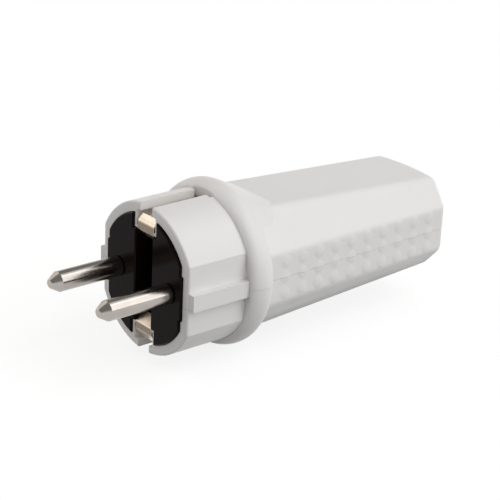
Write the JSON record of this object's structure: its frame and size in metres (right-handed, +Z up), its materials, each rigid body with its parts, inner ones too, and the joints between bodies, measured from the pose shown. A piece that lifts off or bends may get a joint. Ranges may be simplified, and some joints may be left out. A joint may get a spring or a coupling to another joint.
{
  "type": "two-pin plug",
  "caption": "Straight rewirable two-pin mains plug with earth contacts in channels at top and bottom of its nose, a round flange and a faceted bumped grip.",
  "frame": {"origin": "centre of the nose ring's front face, midway between the pins", "axes": "+X along the line of the pins, +Y from the face back along the plug's axis to the cord entry, +Z up, toward one earth channel"},
  "size_m": [0.04, 0.103, 0.04],
  "materials": {
    "white_plastic": "satin moulded",
    "black_plastic": "gloss moulded",
    "nickel_brass": "nickel plated, polished",
    "nickel_strip": "nickel plated, satin",
    "plated_steel": "zinc plated",
    "clamp_plastic": "moulded"
  },
  "bodies": {
    "root": {"upper_shell": "white_plastic", "lower_shell": "white_plastic", "pin_carrier": "black_plastic", "line_pin": "nickel_brass", "neutral_pin": "nickel_brass", "terminal_screws": "plated_steel", "earth_strap": "nickel_strip", "earth_screw": "plated_steel", "earth_washer": "plated_steel", "cord_clamp": "clamp_plastic", "clamp_screws": "plated_steel", "housing_screws": "plated_steel"}
  },
  "joints": []
}
